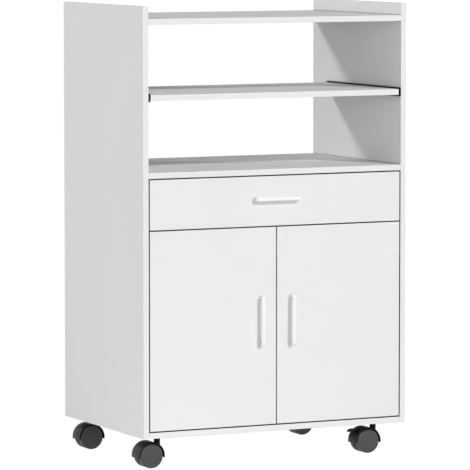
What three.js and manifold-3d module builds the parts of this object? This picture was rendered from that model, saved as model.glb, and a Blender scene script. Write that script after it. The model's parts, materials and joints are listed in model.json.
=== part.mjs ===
// Microwave cart: a white board cabinet on four twin-wheel casters, with two open bays,
// a shelf that slides out on channels, a drawer on roller runners and two hinged doors.
// Millimetres, +Z up, the front faces -Y. The origin is on the floor, under the middle
// of the whole cart, handles included.

import * as THREE from 'three';
import { mergeVertices } from 'three/addons/utils/BufferGeometryUtils.js';
import Module from 'manifold-3d';

// Cabinet boards. Heights of boards are measured from the lower edge of the side panels.
const CART_WIDTH = 600;
const CART_DEPTH = 400;
const PANEL_HEIGHT = 875;
const BOARD = 12;
const TOP_RECESS = 25;
const DECK_TOP = 540;
const INNER_SHELF_TOP = 218;
const INNER_SHELF_SETBACK = 40;
const BACK_BOARD = 3;
const BACK_INSET = 8;
const GROOVE_DEPTH = 4;
const RAIL_BOARD_DEPTH = 60;

// Fronts, inset between the side panels and flush with their front edges.
const FRONT_GAP = 2.5;
const DOOR_GAP = 2;
const DRAWER_FRONT_HEIGHT = 102;

// Shelf that slides out, and the black channels that carry it. The tongue of each channel
// lies in a groove along the edge of the shelf, which stops short of the shelf's front.
const SLIDING_SHELF_TOP = 697;
const SLIDING_SHELF_DEPTH = 330;
const CHANNEL_WEB = 1.6;
const CHANNEL_FLANGE = 2.2;
const CHANNEL_REACH = 4.6;
const CHANNEL_RISE = 2.8;
const CHANNEL_TONGUE = 3.4;
const CHANNEL_TONGUE_REACH = 6;
const CHANNEL_TONGUE_SETBACK = 12;
const SHELF_SIDE_PLAY = 0.4;

// Drawer box and its roller runners.
const DRAWER_BACK_SPACE = 27;
const DRAWER_SIDE_HEIGHT = 70;
const DRAWER_BOTTOM = 3;
const DRAWER_BOTTOM_RISE = 8;
const RUNNER_SPACE = 12.7;
const RUNNER_STEEL = 1.2;
const RUNNER_FLANGE = 9;
const RUNNER_TOP_FLANGE = 7;
const RUNNER_LIFT = 3.5;
const ROLLER_RADIUS = 8;
const ROLLER_WIDTH = 6.5;
const ROLLER_INSET = 14;
const ROLLER_PIN_RADIUS = 2;
const LIP_PLAY = 0.8;

// Bow handles.
const HANDLE_LENGTH = 104;
const HANDLE_REACH = 13;
const HANDLE_WIDTH = 7.5;
const HANDLE_BAR = 4.6;
const HANDLE_LEG = 6.5;
const HANDLE_CORNER = 6;
const HANDLE_EDGE = 0.8;
const DRAWER_HANDLE_RISE = 4.5;
const DOOR_HANDLE_HEIGHT = 228;
const DOOR_HANDLE_SPACING = 70;

// Concealed hinges. Their places are measured from the outer front corner of the door.
const HINGE_END_DISTANCE = 85;
const CUP_RADIUS = 13;
const CUP_CENTRE = 19.1;
const CUP_DEPTH = 9;
const CUP_WALL = 1;
const CUP_FLANGE_RADIUS = 15.5;
const CUP_FLANGE_LENGTH = 44;
const CUP_FLANGE_WIDTH = 16;
const HINGE_PIN_INSET = 14.4;
const HINGE_PIN_RADIUS = 1.2;
const KNUCKLE_RADIUS = 2.4;
const ARM_STEEL = 2.5;
const ARM_WIDTH = 12;
const ARM_ELBOW_OFFSET = 7.3;
const ARM_ELBOW_RISE = 1.4;
const ARM_NECK_LENGTH = 10;
const ARM_SEAT_DEPTH = 36;
const ARM_LENGTH = 72;
const MOUNT_PLATE = 2;
const MOUNT_BLOCK_RISE = 5.5;
const MOUNT_BLOCK_WIDTH = 10;
const MOUNT_LINE = 49;
const MOUNT_WING_LENGTH = 44;
const MOUNT_WING_WIDTH = 12;

// Twin-wheel casters.
const CASTER_HEAD = 15;
const CASTER_SIDE_INSET = 51;
const CASTER_FRONT_INSET = 47;
const CASTER_BACK_INSET = 51;
const CASTER_TRAIL = 19.5;
const WHEEL_RADIUS = 25;
const WHEEL_WIDTH = 15;
const WHEEL_GAP = 7;
const WHEEL_WALL = 3;
const WHEEL_DOME = 1.3;
const WHEEL_EDGE = 1;
const WHEEL_HUB_RADIUS = 6.5;
const AXLE_RADIUS = 3;
const HOOD_PLAY = 2.5;
const HOOD_WALL = 1.3;
const HOOD_SKIRT = 4;
const FORK_WEB = 5;
const NECK_RADIUS = 6.5;
const KINGPIN_RADIUS = 4;
const KINGPIN_LENGTH = 12;
const CASTER_PLATE = 2;
const CASTER_PLATE_SIZE = 42;
const CASTER_PLATE_CORNER = 5;
const CASTER_SCREW_SPACING = 31;
const CASTER_SCREW_RADIUS = 2.2;

// Brake lever of the two right-hand casters. Its places are measured from the wheel axle.
const BRAKE_PIN_BACK = 6.2;
const BRAKE_PIN_UP = 16.9;
const BRAKE_PIN_RADIUS = 1.5;
const BRAKE_EYE_RADIUS = 3.6;
const BRAKE_BLADE = 3.2;
const BRAKE_ARM_WIDTH = 4.6;
const BRAKE_ARM_LAP = 1.5;
const BRAKE_TONGUE_CLEARANCE = 2.4;
const BRAKE_TONGUE_START = 18;
const BRAKE_TONGUE_REACH = 40;
const BRAKE_TONGUE_THICKNESS = 5;
const BRAKE_TONGUE_TIP = 1.6;
const BRAKE_TONGUE_WIDTH = 12;
const BRAKE_TONGUE_DROP = 4.7;
const BRAKE_TONGUE_BEND = 0.65;
const BRAKE_TRAVEL_DEG = 8;

// Running play between pieces that turn or slot into each other.
const PLAY = 0.3;

// How far a cutting tool runs past the face that it opens, and how near points are welded.
const OVERRUN = 1;
const WELD = 1e-4;

// Number of flats on a round piece.
const WHEEL_SIDES = 28;
const CUP_SIDES = 24;
const ROUND_SIDES = 20;
const PIN_SIDES = 12;
const HOLE_SIDES = 8;

const inside = CART_WIDTH / 2 - BOARD;
const front = (HANDLE_REACH - CART_DEPTH) / 2;
const back = front + CART_DEPTH;
const base = 2 * WHEEL_RADIUS + CASTER_HEAD;
const deckUnder = DECK_TOP - BOARD;
const drawerFrontTop = deckUnder - FRONT_GAP;
const drawerFrontBottom = drawerFrontTop - DRAWER_FRONT_HEIGHT;
const drawerHandleHeight = (drawerFrontBottom + drawerFrontTop) / 2 + DRAWER_HANDLE_RISE;
const crossRailTop = drawerFrontBottom - FRONT_GAP / 2 + BOARD;
const doorTop = drawerFrontBottom - FRONT_GAP;
const doorBottom = BOARD + FRONT_GAP;
const doorWidth = inside - FRONT_GAP - DOOR_GAP / 2;

const hingePinDepth = BOARD - CUP_DEPTH + CUP_WALL + PLAY + KNUCKLE_RADIUS;
const armElbow = [CUP_CENTRE + ARM_ELBOW_OFFSET, BOARD + ARM_ELBOW_RISE];

const wasm = await Module();
wasm.setup();

// ---- Closed meshes, and their joins and cuts ----

function signedVolume(points, corners) {
  const a = new THREE.Vector3();
  const b = new THREE.Vector3();
  const c = new THREE.Vector3();
  let volume = 0;
  for (let i = 0; i < corners.length; i += 3) {
    a.fromArray(points, 3 * corners[i]);
    b.fromArray(points, 3 * corners[i + 1]);
    c.fromArray(points, 3 * corners[i + 2]);
    volume += a.dot(b.cross(c)) / 6;
  }
  return volume;
}

function toSolid(geometry) {
  const bare = geometry.clone();
  bare.deleteAttribute('normal');
  bare.deleteAttribute('uv');
  const welded = mergeVertices(bare, WELD);
  const points = new Float32Array(welded.getAttribute('position').array);
  const corners = [];
  const index = welded.getIndex().array;
  for (let i = 0; i < index.length; i += 3) {
    const [a, b, c] = [index[i], index[i + 1], index[i + 2]];
    if (a !== b && b !== c && c !== a) corners.push(a, b, c);
  }
  if (signedVolume(points, corners) < 0) corners.reverse();
  const mesh = new wasm.Mesh({
    numProp: 3,
    vertProperties: points,
    triVerts: new Uint32Array(corners),
  });
  return new wasm.Manifold(mesh);
}

function toGeometry(solid) {
  const mesh = solid.getMesh();
  const geometry = new THREE.BufferGeometry();
  geometry.setAttribute('position', new THREE.BufferAttribute(mesh.vertProperties, 3));
  geometry.setIndex(new THREE.BufferAttribute(mesh.triVerts, 1));
  geometry.computeVertexNormals();
  return geometry;
}

function join(first, ...others) {
  return toGeometry(others.reduce((sum, each) => sum.add(toSolid(each)), toSolid(first)));
}

function cut(body, ...tools) {
  return toGeometry(tools.reduce((rest, tool) => rest.subtract(toSolid(tool)), toSolid(body)));
}

// ---- Basic forms ----

// A block between two limits along each axis.
function block([x0, x1], [y0, y1], [z0, z1]) {
  const geometry = new THREE.BoxGeometry(x1 - x0, y1 - y0, z1 - z0);
  return geometry.translate((x0 + x1) / 2, (y0 + y1) / 2, (z0 + z1) / 2);
}

function grow(limits, play) {
  return limits.map(([low, high]) => [low - play, high + play]);
}

function outline(points) {
  return new THREE.Shape(points.map(([x, y]) => new THREE.Vector2(x, y)));
}

// An outline drawn in X and Z, with its thickness along Y between two limits.
function slabAlongY(shape, [y0, y1], options = {}) {
  const settings = { depth: y1 - y0, bevelEnabled: false, curveSegments: ROUND_SIDES / 2, ...options };
  const geometry = new THREE.ExtrudeGeometry(shape, settings);
  return geometry.rotateX(Math.PI / 2).translate(0, y1, 0);
}

// An outline drawn in X and Y, with its thickness along Z between two limits.
function slabAlongZ(shape, [z0, z1], options = {}) {
  const settings = { depth: z1 - z0, bevelEnabled: false, curveSegments: ROUND_SIDES / 4, ...options };
  return new THREE.ExtrudeGeometry(shape, settings).translate(0, 0, z0);
}

function cylinderAlongY(radius, [y0, y1], sides = ROUND_SIDES) {
  const geometry = new THREE.CylinderGeometry(radius, radius, y1 - y0, sides);
  return geometry.translate(0, (y0 + y1) / 2, 0);
}

function cylinderAlongX(radius, [x0, x1], sides = ROUND_SIDES) {
  return cylinderAlongY(radius, [x0, x1], sides).rotateZ(-Math.PI / 2);
}

function cylinderAlongZ(radius, [z0, z1], sides = ROUND_SIDES) {
  return cylinderAlongY(radius, [z0, z1], sides).rotateX(Math.PI / 2);
}

// ---- Materials ----

function coated(color, roughness) {
  return new THREE.MeshStandardMaterial({ color, roughness, metalness: 0 });
}

const whiteBoard = () => coated(0xeeeeef, 0.55);
const hardboard = () => coated(0xe6e6e4, 0.7);
const handleWhite = () => coated(0xfafafa, 0.3);
const channelBlack = () => coated(0x17181a, 0.5);
const runnerWhite = () => coated(0xdfe0e0, 0.4);
const rollerNylon = () => coated(0xf2f0e8, 0.45);
const casterHoodGrey = () => coated(0x2e2f31, 0.5);
const casterWheelGrey = () => coated(0x4e4f51, 0.45);
const steel = () => new THREE.MeshStandardMaterial({ color: 0xb9bcc0, roughness: 0.35, metalness: 1 });

function piece(name, geometry, material) {
  const mesh = new THREE.Mesh(toGeometry(toSolid(geometry)), material);
  mesh.name = name;
  return mesh;
}

function placed(object, x, y, z) {
  object.position.set(x, y, z);
  return object;
}

function group(...children) {
  const holder = new THREE.Group();
  if (children.length > 0) holder.add(...children);
  return holder;
}

// ---- Cabinet ----
// Inside this group X is centred, Y runs back from the front edges and Z up from the
// lower edges of the side panels.

const backBoardLimits = [
  [-(inside + GROOVE_DEPTH - PLAY), inside + GROOVE_DEPTH - PLAY],
  [CART_DEPTH - BACK_INSET - BACK_BOARD, CART_DEPTH - BACK_INSET],
  [BOARD - GROOVE_DEPTH + PLAY, deckUnder + GROOVE_DEPTH - PLAY],
];

function sidePanel(side) {
  const inner = side * inside;
  const outer = side * (inside + BOARD);
  const board = block([Math.min(inner, outer), Math.max(inner, outer)], [0, CART_DEPTH], [0, PANEL_HEIGHT]);
  return cut(board, block(...grow(backBoardLimits, PLAY)));
}

function crossBoard(top, depthLimits) {
  return block([-inside, inside], depthLimits, [top - BOARD, top]);
}

function groovedCrossBoard(top) {
  return cut(crossBoard(top, [0, CART_DEPTH]), block(...grow(backBoardLimits, PLAY)));
}

const shelfHalf = inside - CHANNEL_REACH - SHELF_SIDE_PLAY;
const shelfMiddle = SLIDING_SHELF_TOP - BOARD / 2;

// The tongue of a channel, from behind its web to its tip in the groove of the shelf.
function channelTongue(side) {
  const root = side * (inside - CHANNEL_WEB / 2);
  const tip = side * (inside - CHANNEL_REACH - CHANNEL_TONGUE_REACH);
  return [
    [Math.min(root, tip), Math.max(root, tip)],
    [CHANNEL_TONGUE_SETBACK, SLIDING_SHELF_DEPTH],
    [shelfMiddle - CHANNEL_TONGUE / 2, shelfMiddle + CHANNEL_TONGUE / 2],
  ];
}

function shelfChannel(side) {
  const halfHeight = BOARD / 2 + CHANNEL_RISE;
  const halfOpening = halfHeight - CHANNEL_FLANGE;
  const wall = side * inside;
  const web = side * (inside - CHANNEL_WEB);
  const lip = side * (inside - CHANNEL_REACH);
  const section = outline([
    [wall, shelfMiddle - halfHeight],
    [lip, shelfMiddle - halfHeight],
    [lip, shelfMiddle - halfOpening],
    [web, shelfMiddle - halfOpening],
    [web, shelfMiddle + halfOpening],
    [lip, shelfMiddle + halfOpening],
    [lip, shelfMiddle + halfHeight],
    [wall, shelfMiddle + halfHeight],
  ]);
  return join(slabAlongY(section, [0, SLIDING_SHELF_DEPTH]), block(...channelTongue(side)));
}

function slidingShelf() {
  const height = [SLIDING_SHELF_TOP - BOARD, SLIDING_SHELF_TOP];
  const board = block([-shelfHalf, shelfHalf], [0, SLIDING_SHELF_DEPTH], height);
  return cut(board, ...[-1, 1].map((side) => block(...grow(channelTongue(side), PLAY))));
}

function cabinet() {
  const railFront = BOARD + FRONT_GAP;
  const innerShelfBack = backBoardLimits[1][0];
  return group(
    piece('left_side_panel', sidePanel(-1), whiteBoard()),
    piece('right_side_panel', sidePanel(1), whiteBoard()),
    piece('top_shelf', crossBoard(PANEL_HEIGHT - TOP_RECESS, [0, CART_DEPTH]), whiteBoard()),
    piece('deck_panel', groovedCrossBoard(DECK_TOP), whiteBoard()),
    piece('bottom_panel', groovedCrossBoard(BOARD), whiteBoard()),
    piece('inner_shelf', crossBoard(INNER_SHELF_TOP, [INNER_SHELF_SETBACK, innerShelfBack]), whiteBoard()),
    piece('cross_rail', crossBoard(crossRailTop, [railFront, railFront + RAIL_BOARD_DEPTH]), whiteBoard()),
    piece('back_panel', block(...backBoardLimits), hardboard()),
    piece('shelf_channel_left', shelfChannel(-1), channelBlack()),
    piece('shelf_channel_right', shelfChannel(1), channelBlack()),
    piece('sliding_shelf', slidingShelf(), whiteBoard()),
  );
}

// ---- Handles ----
// A bow drawn with its length along X and its reach along Y, then turned to face -Y.

function bowHandle() {
  const half = HANDLE_LENGTH / 2;
  const round = HANDLE_CORNER;
  const innerRound = HANDLE_CORNER - HANDLE_BAR / 2;
  const innerHalf = half - HANDLE_LEG;
  const innerReach = HANDLE_REACH - HANDLE_BAR;
  const bow = new THREE.Shape();
  bow.moveTo(-half, 0);
  bow.lineTo(-innerHalf, 0);
  bow.lineTo(-innerHalf, innerReach - innerRound);
  bow.absarc(-innerHalf + innerRound, innerReach - innerRound, innerRound, Math.PI, Math.PI / 2, true);
  bow.absarc(innerHalf - innerRound, innerReach - innerRound, innerRound, Math.PI / 2, 0, true);
  bow.lineTo(innerHalf, 0);
  bow.lineTo(half, 0);
  bow.absarc(half - round, HANDLE_REACH - round, round, 0, Math.PI / 2, false);
  bow.absarc(-half + round, HANDLE_REACH - round, round, Math.PI / 2, Math.PI, false);
  const bar = slabAlongZ(bow, [-HANDLE_WIDTH / 2 + HANDLE_EDGE, HANDLE_WIDTH / 2 - HANDLE_EDGE], {
    bevelEnabled: true,
    bevelThickness: HANDLE_EDGE,
    bevelSize: HANDLE_EDGE,
    bevelOffset: -HANDLE_EDGE,
    bevelSegments: 1,
  });
  return bar.rotateX(Math.PI);
}

// ---- Drawer ----

const drawerSide = inside - RUNNER_SPACE;
const runnerBase = crossRailTop + RUNNER_LIFT;
const rollerHeight = runnerBase + RUNNER_STEEL + PLAY + ROLLER_RADIUS;
const lipUnder = rollerHeight + ROLLER_RADIUS + PLAY;
const lipTop = lipUnder + RUNNER_STEEL;
const runnerTop = lipTop + LIP_PLAY + RUNNER_STEEL;
const drawerUnder = runnerBase + RUNNER_STEEL + PLAY + RUNNER_STEEL;
const drawerFloor = drawerUnder + DRAWER_BOTTOM_RISE + DRAWER_BOTTOM;
const drawerRim = drawerUnder + DRAWER_SIDE_HEIGHT;
const drawerBack = backBoardLimits[1][0] - DRAWER_BACK_SPACE;

const drawerBottomLimits = [
  [-(drawerSide - BOARD + GROOVE_DEPTH - PLAY), drawerSide - BOARD + GROOVE_DEPTH - PLAY],
  [BOARD - GROOVE_DEPTH + PLAY, drawerBack - PLAY],
  [drawerFloor - DRAWER_BOTTOM, drawerFloor],
];

function drawerFront() {
  const half = inside - FRONT_GAP;
  const board = block([-half, half], [0, BOARD], [drawerFrontBottom, drawerFrontTop]);
  return cut(board, block(...grow(drawerBottomLimits, PLAY)));
}

function drawerSideBoard(side) {
  const outer = side * drawerSide;
  const inner = side * (drawerSide - BOARD);
  const limits = [Math.min(inner, outer), Math.max(inner, outer)];
  const board = block(limits, [BOARD, drawerBack], [drawerUnder, drawerRim]);
  return cut(board, block(...grow(drawerBottomLimits, PLAY)));
}

function drawerBackBoard() {
  const half = drawerSide - BOARD;
  return block([-half, half], [drawerBack - BOARD, drawerBack], [drawerFloor + PLAY, drawerRim]);
}

// The runner fixed to the cabinet is a channel with a roller pin at its front end.
function cabinetRunner(side) {
  const at = (distance) => side * (inside - distance);
  const section = outline([
    [at(0), runnerBase],
    [at(RUNNER_FLANGE), runnerBase],
    [at(RUNNER_FLANGE), runnerBase + RUNNER_STEEL],
    [at(RUNNER_STEEL), runnerBase + RUNNER_STEEL],
    [at(RUNNER_STEEL), runnerTop - RUNNER_STEEL],
    [at(RUNNER_TOP_FLANGE), runnerTop - RUNNER_STEEL],
    [at(RUNNER_TOP_FLANGE), runnerTop],
    [at(0), runnerTop],
  ]);
  const pinEnds = [at(RUNNER_STEEL / 2), at(RUNNER_FLANGE)].sort((a, b) => a - b);
  const pin = cylinderAlongX(ROLLER_PIN_RADIUS, pinEnds, PIN_SIDES);
  pin.translate(0, BOARD + ROLLER_INSET, rollerHeight);
  return join(slabAlongY(section, [BOARD + PLAY, drawerBack]), pin);
}

// The runner on the drawer wraps the lower edge of its side, and ends in a lip that rides
// on the front roller. Its own roller pin is at its back end.
function drawerRunner(side) {
  const at = (distance) => side * (inside - distance);
  const web = RUNNER_SPACE - RUNNER_STEEL;
  const lip = RUNNER_SPACE - RUNNER_FLANGE;
  const section = outline([
    [at(lip), lipUnder],
    [at(web), lipUnder],
    [at(web), drawerUnder - RUNNER_STEEL],
    [at(RUNNER_SPACE + BOARD), drawerUnder - RUNNER_STEEL],
    [at(RUNNER_SPACE + BOARD), drawerUnder],
    [at(RUNNER_SPACE), drawerUnder],
    [at(RUNNER_SPACE), lipTop],
    [at(lip), lipTop],
  ]);
  const pinEnds = [at(lip), at(web + RUNNER_STEEL / 2)].sort((a, b) => a - b);
  const pin = cylinderAlongX(ROLLER_PIN_RADIUS, pinEnds, PIN_SIDES);
  pin.translate(0, drawerBack - ROLLER_INSET, rollerHeight);
  return join(slabAlongY(section, [BOARD, drawerBack]), pin);
}

function roller() {
  const half = ROLLER_WIDTH / 2;
  const wheel = cylinderAlongX(ROLLER_RADIUS, [-half, half]);
  return cut(wheel, cylinderAlongX(ROLLER_PIN_RADIUS + PLAY, [-ROLLER_WIDTH, ROLLER_WIDTH], PIN_SIDES));
}

function rollers(side, word) {
  const frontX = side * (inside - RUNNER_STEEL - PLAY - ROLLER_WIDTH / 2);
  const backX = side * (inside - RUNNER_SPACE + RUNNER_STEEL + PLAY + ROLLER_WIDTH / 2);
  return [
    placed(
      piece(`runner_roller_${word}_front`, roller(), rollerNylon()),
      frontX, BOARD + ROLLER_INSET, rollerHeight,
    ),
    placed(
      piece(`runner_roller_${word}_back`, roller(), rollerNylon()),
      backX, drawerBack - ROLLER_INSET, rollerHeight,
    ),
  ];
}

function drawer() {
  return group(
    piece('drawer_front', drawerFront(), whiteBoard()),
    piece('drawer_side_left', drawerSideBoard(-1), whiteBoard()),
    piece('drawer_side_right', drawerSideBoard(1), whiteBoard()),
    piece('drawer_back', drawerBackBoard(), whiteBoard()),
    piece('drawer_bottom', block(...drawerBottomLimits), hardboard()),
    placed(piece('drawer_handle', bowHandle(), handleWhite()), 0, 0, drawerHandleHeight),
    piece('drawer_runner_left', drawerRunner(-1), runnerWhite()),
    piece('drawer_runner_right', drawerRunner(1), runnerWhite()),
    piece('cabinet_runner_left', cabinetRunner(-1), runnerWhite()),
    piece('cabinet_runner_right', cabinetRunner(1), runnerWhite()),
    ...rollers(-1, 'left'),
    ...rollers(1, 'right'),
  );
}

// ---- Doors and hinges ----
// Each of these is drawn from the outer front corner of its door, X running inwards for
// the left door (hand 1) and mirrored for the right one (hand -1).

const hingeHeights = {
  lower: doorBottom + HINGE_END_DISTANCE,
  upper: doorTop - HINGE_END_DISTANCE,
};

function doorBoard(hand) {
  const edge = hand * doorWidth;
  const board = block([Math.min(0, edge), Math.max(0, edge)], [0, BOARD], [doorBottom, doorTop]);
  const bores = Object.values(hingeHeights).map((height) => {
    const depth = [BOARD - CUP_DEPTH - PLAY, BOARD + OVERRUN];
    const bore = cylinderAlongY(CUP_RADIUS + PLAY, depth, CUP_SIDES);
    return bore.translate(hand * CUP_CENTRE, 0, height);
  });
  return cut(board, ...bores);
}

// Cup with its mounting flange, and the pivot pin across it.
function hingeCup(hand) {
  const flangeTop = BOARD + CUP_WALL;
  const shell = cylinderAlongY(CUP_RADIUS, [BOARD - CUP_DEPTH, flangeTop], CUP_SIDES);
  const collar = cylinderAlongY(CUP_FLANGE_RADIUS, [BOARD, flangeTop], CUP_SIDES);
  const halfWidth = CUP_FLANGE_WIDTH / 2;
  const halfLength = CUP_FLANGE_LENGTH / 2;
  const wings = block([-halfWidth, halfWidth], [BOARD, flangeTop], [-halfLength, halfLength]);
  const pocketRadius = CUP_RADIUS - CUP_WALL;
  const pocketDepth = [BOARD - CUP_DEPTH + CUP_WALL, flangeTop + OVERRUN];
  const pocket = cylinderAlongY(pocketRadius, pocketDepth, CUP_SIDES);
  const pinOffset = CUP_CENTRE - HINGE_PIN_INSET;
  const pinHalf = Math.sqrt(pocketRadius ** 2 - pinOffset ** 2) + CUP_WALL / 2;
  const pin = cylinderAlongZ(HINGE_PIN_RADIUS, [-pinHalf, pinHalf], PIN_SIDES);
  pin.translate(-hand * pinOffset, hingePinDepth, 0);
  return join(cut(join(shell, collar, wings), pocket), pin);
}

// A flat strip of even thickness along a bent line, drawn in X and Y.
function strip(points, thickness) {
  const line = points.map(([x, y]) => new THREE.Vector2(x, y));
  const sides = [[], []];
  line.forEach((point, i) => {
    const before = line[Math.max(i - 1, 0)];
    const after = line[Math.min(i + 1, line.length - 1)];
    const into = i > 0 ? point.clone().sub(before).normalize() : after.clone().sub(point).normalize();
    const out = i < line.length - 1 ? after.clone().sub(point).normalize() : into;
    const along = into.clone().add(out).normalize();
    const reach = thickness / 2 / Math.sqrt((1 + into.dot(out)) / 2);
    const across = new THREE.Vector2(-along.y, along.x).multiplyScalar(reach);
    sides[0].push(point.clone().add(across));
    sides[1].unshift(point.clone().sub(across));
  });
  return new THREE.Shape([...sides[0], ...sides[1]]);
}

const mountTop = -FRONT_GAP + MOUNT_PLATE + MOUNT_BLOCK_RISE;

// The arm is fixed to the mount and reaches round the edge of the door into the cup.
function hingeArm(hand) {
  const seat = mountTop + ARM_STEEL / 2;
  const half = ARM_WIDTH / 2;
  const bend = [
    [HINGE_PIN_INSET, hingePinDepth],
    armElbow,
    [armElbow[0], armElbow[1] + ARM_NECK_LENGTH],
    [seat, ARM_SEAT_DEPTH],
    [seat, ARM_LENGTH],
  ].map(([x, y]) => [hand * x, y]);
  const band = slabAlongZ(strip(bend, ARM_STEEL), [-half, half]);
  const pinX = hand * HINGE_PIN_INSET;
  const knuckle = cylinderAlongZ(KNUCKLE_RADIUS, [-half, half]).translate(pinX, hingePinDepth, 0);
  const bore = cylinderAlongZ(HINGE_PIN_RADIUS + PLAY, [-ARM_WIDTH, ARM_WIDTH], PIN_SIDES);
  return cut(join(band, knuckle), bore.translate(pinX, hingePinDepth, 0));
}

// Cross-shaped plate screwed to the side panel, with the block that carries the arm.
function hingeMount(hand) {
  const wall = -FRONT_GAP;
  const span = (low, high) => [hand * low, hand * high].sort((a, b) => a - b);
  const halfWing = MOUNT_WING_LENGTH / 2;
  const halfBlock = MOUNT_BLOCK_WIDTH / 2;
  const wings = block(
    span(wall, wall + MOUNT_PLATE),
    [MOUNT_LINE - MOUNT_WING_WIDTH / 2, MOUNT_LINE + MOUNT_WING_WIDTH / 2],
    [-halfWing, halfWing],
  );
  const carrierDepth = [ARM_SEAT_DEPTH + ARM_STEEL, ARM_LENGTH];
  return join(wings, block(span(wall, mountTop), carrierDepth, [-halfBlock, halfBlock]));
}

function door(hand, word) {
  const cornerX = -hand * (inside - FRONT_GAP);
  const handleX = hand * (inside - FRONT_GAP - DOOR_HANDLE_SPACING / 2);
  const handle = piece(`${word}_door_handle`, bowHandle().rotateY(Math.PI / 2), handleWhite());
  const hinges = Object.entries(hingeHeights).flatMap(([level, height]) => [
    placed(piece(`hinge_cup_${word}_${level}`, hingeCup(hand), steel()), hand * CUP_CENTRE, 0, height),
    placed(piece(`hinge_arm_${word}_${level}`, hingeArm(hand), steel()), 0, 0, height),
    placed(piece(`hinge_mount_${word}_${level}`, hingeMount(hand), steel()), 0, 0, height),
  ]);
  const parts = group(
    piece(`${word}_door`, doorBoard(hand), whiteBoard()),
    placed(handle, handleX, 0, DOOR_HANDLE_HEIGHT),
    ...hinges,
  );
  return placed(parts, cornerX, 0, 0);
}

// ---- Casters ----
// The origin of a caster is on the floor under its swivel axis. The wheels trail to -X.

const treadRadius = WHEEL_RADIUS / Math.cos(Math.PI / WHEEL_SIDES);
const wellRadius = treadRadius + HOOD_PLAY;
const hoodRadius = wellRadius + HOOD_WALL;
const hoodWidth = WHEEL_GAP + 2 * WHEEL_WIDTH;
const neckTop = base - CASTER_PLATE - PLAY;

// The brake tongue starts clear of the wheels, and its top leaves the hood at its surface.
const tongueUnder = Math.sqrt((treadRadius + BRAKE_TONGUE_CLEARANCE) ** 2 - BRAKE_TONGUE_START ** 2);
const tongueOver = tongueUnder + BRAKE_TONGUE_THICKNESS;
const tongueExit = Math.sqrt(hoodRadius ** 2 - tongueOver ** 2);

const quadrants = [[1, 1], [-1, 1], [-1, -1], [1, -1]];

function casterPlate() {
  const half = CASTER_PLATE_SIZE / 2;
  const corner = half - CASTER_PLATE_CORNER;
  const shape = new THREE.Shape();
  quadrants.forEach(([x, y], turn) => {
    const start = (turn * Math.PI) / 2;
    shape.absarc(x * corner, y * corner, CASTER_PLATE_CORNER, start, start + Math.PI / 2, false);
  });
  const screw = CASTER_SCREW_SPACING / 2;
  const through = [base - 2 * CASTER_PLATE, base + CASTER_PLATE];
  const holes = quadrants.map(([x, y]) => {
    return cylinderAlongZ(CASTER_SCREW_RADIUS, through, HOLE_SIDES).translate(x * screw, y * screw, 0);
  });
  const plate = slabAlongZ(shape, [base - CASTER_PLATE, base]);
  const pinLimits = [base - CASTER_PLATE - KINGPIN_LENGTH, base - CASTER_PLATE / 2];
  return join(cut(plate, ...holes), cylinderAlongZ(KINGPIN_RADIUS, pinLimits, PIN_SIDES));
}

// The part of a disc above the skirt line, drawn round the axle in X and Z.
function discAboveSkirt(radius, holeRadius) {
  const angle = Math.asin(HOOD_SKIRT / radius);
  const shape = new THREE.Shape();
  shape.absarc(0, 0, radius, -angle, Math.PI + angle, false);
  if (holeRadius > 0) {
    const inner = Math.asin(HOOD_SKIRT / holeRadius);
    shape.absarc(0, 0, holeRadius, Math.PI + inner, -inner, true);
  }
  return shape;
}

// Fork: hood over both wheels, web between them, axle and swivel neck in one moulding.
function plainFork() {
  const half = hoodWidth / 2;
  const axleHalf = half - WHEEL_WALL;
  const hood = slabAlongY(discAboveSkirt(hoodRadius, wellRadius), [-half, half]);
  const web = slabAlongY(discAboveSkirt(wellRadius + HOOD_WALL / 2, 0), [-FORK_WEB / 2, FORK_WEB / 2]);
  const hub = cylinderAlongY(WHEEL_HUB_RADIUS, [-FORK_WEB / 2, FORK_WEB / 2]);
  const axle = cylinderAlongY(AXLE_RADIUS, [-axleHalf + PLAY, axleHalf - PLAY], PIN_SIDES);
  const neckLimits = [wellRadius / 2, neckTop - WHEEL_RADIUS];
  const neck = cylinderAlongZ(NECK_RADIUS, neckLimits).translate(CASTER_TRAIL, 0, 0);
  const well = cylinderAlongY(wellRadius, [-half, half]);
  const kingpinBottom = neckTop - WHEEL_RADIUS - KINGPIN_LENGTH - PLAY;
  const bore = cylinderAlongZ(KINGPIN_RADIUS + PLAY, [kingpinBottom, neckTop], PIN_SIDES);
  return cut(join(cut(neck, well), hood, web, hub, axle), bore.translate(CASTER_TRAIL, 0, 0));
}

// The brake blade lies in a pocket of the web, on the +Y side of a thin wall.
const bladeLimits = [FORK_WEB / 2 - BRAKE_BLADE, FORK_WEB / 2];

function brakeBlade(play, presses) {
  const rise = tongueUnder + BRAKE_TONGUE_THICKNESS / 2 - BRAKE_PIN_UP;
  const run = BRAKE_TONGUE_START + BRAKE_ARM_LAP - BRAKE_PIN_BACK;
  const limits = [bladeLimits[0] - play, bladeLimits[1] + play];
  const arms = presses.map((degrees) => {
    const arm = slabAlongY(strip([[0, 0], [-run, rise]], BRAKE_ARM_WIDTH + 2 * play), limits);
    return arm.rotateY(-THREE.MathUtils.degToRad(degrees));
  });
  const eye = cylinderAlongY(BRAKE_EYE_RADIUS + play, limits, PIN_SIDES);
  return join(eye, ...arms).translate(-BRAKE_PIN_BACK, 0, BRAKE_PIN_UP);
}

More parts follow.
